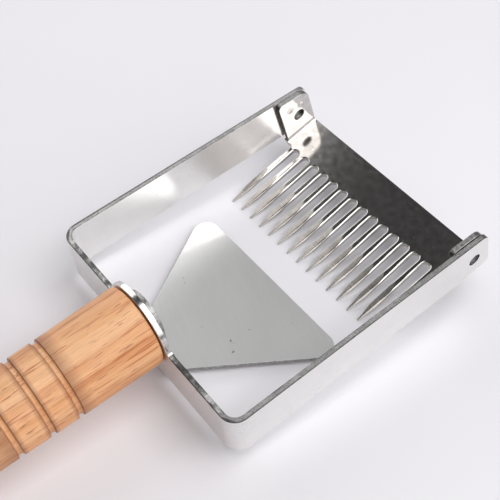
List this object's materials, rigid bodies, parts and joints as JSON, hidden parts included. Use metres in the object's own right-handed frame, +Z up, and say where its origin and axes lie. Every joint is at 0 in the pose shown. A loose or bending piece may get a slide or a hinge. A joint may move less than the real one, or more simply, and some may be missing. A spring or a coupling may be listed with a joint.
{
  "type": "uncapping knife",
  "caption": "Beekeeping hand tool: a U-shaped steel strip frame on a turned wooden handle, with a tilted comb of ground tines and a sloping guide plate for lifting wax cappings.",
  "frame": {"origin": "centre of the footprint, on the surface that the tool lies on, resting on its tine tips and the swell of its handle", "axes": "+Y runs from the handle's butt to the comb, +Z is up, +X completes the right-handed frame and points to the right arm"},
  "size_m": [0.1, 0.2456, 0.0408],
  "materials": {
    "satin_steel": "satin rolled stainless strip with mid-grey cut edges",
    "polished_steel": "smooth, near-mirror stainless sheet with ground tine tips",
    "brushed_steel": "finely brushed stainless sheet",
    "oiled_wood": "oiled, orange-tan turned wood with open pores",
    "zinc_steel": "zinc-plated wood screw",
    "weld_steel": "dimpled spot weld, slightly darkened"
  },
  "bodies": {
    "root": {"frame": "satin_steel", "comb": "polished_steel", "guide_plate": "brushed_steel", "handle": "oiled_wood", "handle_screw": "zinc_steel", "spot_weld_left_front": "weld_steel", "spot_weld_left_rear": "weld_steel", "spot_weld_right_front": "weld_steel", "spot_weld_right_rear": "weld_steel"}
  },
  "joints": []
}
